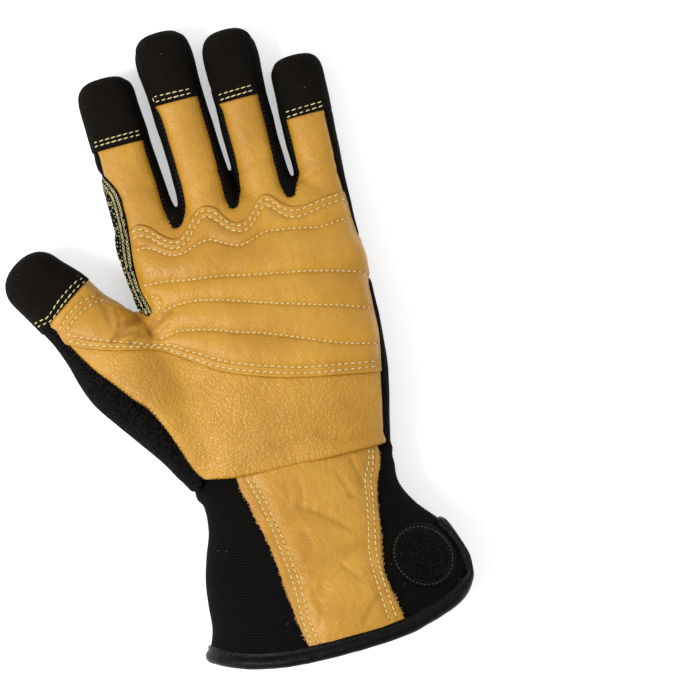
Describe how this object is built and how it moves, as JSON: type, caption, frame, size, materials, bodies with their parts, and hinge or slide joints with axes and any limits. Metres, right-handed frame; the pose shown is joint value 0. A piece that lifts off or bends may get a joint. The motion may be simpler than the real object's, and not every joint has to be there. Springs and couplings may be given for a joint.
{
  "type": "cut-resistant impact glove",
  "caption": "Left-hand work glove with a quilted leather palm, reinforced fingertips, knit side panel and flared gauntlet cuff with a hook patch.",
  "frame": {"origin": "middle of the glove's outline seen from above, on the surface that its back rests on", "axes": "+X away from the thumb, +Y from the wrist towards the fingertips, +Z out of the palm"},
  "size_m": [0.1636, 0.2776, 0.0518],
  "materials": {
    "tan_leather": "pebbled goatskin, semi-matt",
    "black_suede": "synthetic micro suede",
    "back_cloth": "matt stretch cloth",
    "thumb_cloth": "looped terry cloth",
    "heather_knit": "mixed yarn cut-resistant knit",
    "ribbed_knit": "ribbed stretch knit",
    "binding_leather": "smooth, satin",
    "hook_tape": "hook tape"
  },
  "bodies": {
    "root": {"hand_back": "back_cloth", "palm_leather": "tan_leather", "palm_overlay": "tan_leather", "fingertip_index": "black_suede", "fingertip_middle": "black_suede", "fingertip_ring": "black_suede", "fingertip_little": "black_suede", "thumb_tip": "black_suede", "finger_strip_index_middle": "back_cloth", "finger_strip_middle_ring": "back_cloth", "finger_strip_ring_little": "back_cloth", "knit_side": "heather_knit", "thumb_side": "thumb_cloth", "cuff_knit": "ribbed_knit", "cuff_panel": "tan_leather", "cuff_binding": "binding_leather", "hook_patch": "hook_tape"}
  },
  "joints": []
}
